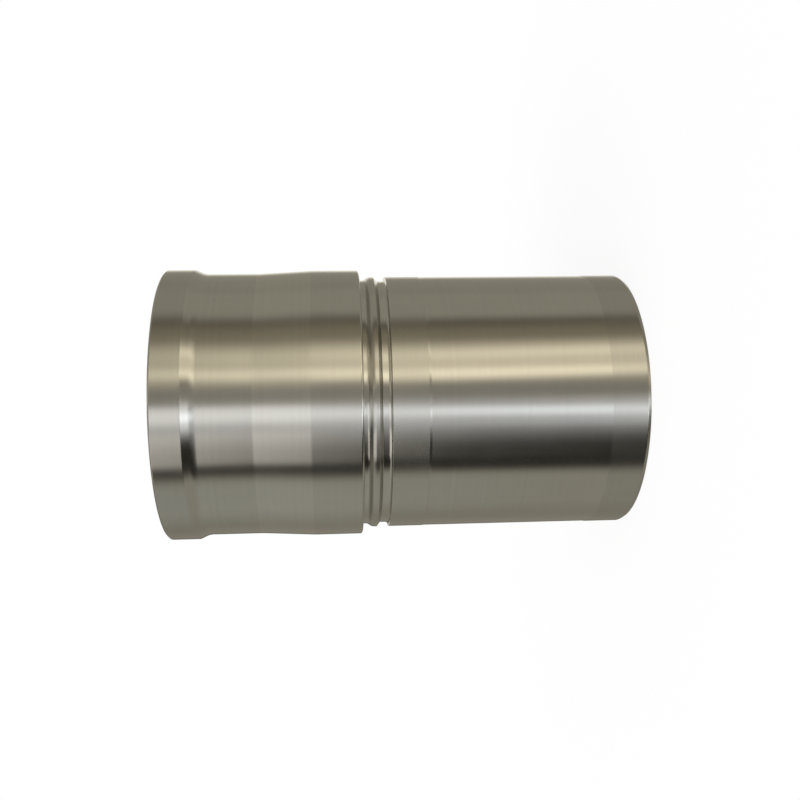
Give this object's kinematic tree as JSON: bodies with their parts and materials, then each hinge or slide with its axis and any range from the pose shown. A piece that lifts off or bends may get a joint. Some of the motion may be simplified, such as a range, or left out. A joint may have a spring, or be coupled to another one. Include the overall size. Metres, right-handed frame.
{
  "type": "cylinder liner",
  "caption": "Turned iron wet cylinder liner: an open tube with a flange at the top, a stop shoulder with seal grooves below it, and a plain skirt.",
  "frame": {"origin": "centre of the skirt end face, on the bore axis; the liner stands on this face", "axes": "+Z along the bore axis, from the skirt end up to the fire deck flange; the part is round, so X and Y are free"},
  "size_m": [0.16, 0.16, 0.268],
  "materials": {
    "liner_iron": "turned and ground bright, with a honed bore"
  },
  "bodies": {
    "root": {"cylinder_liner": "liner_iron"}
  },
  "joints": []
}
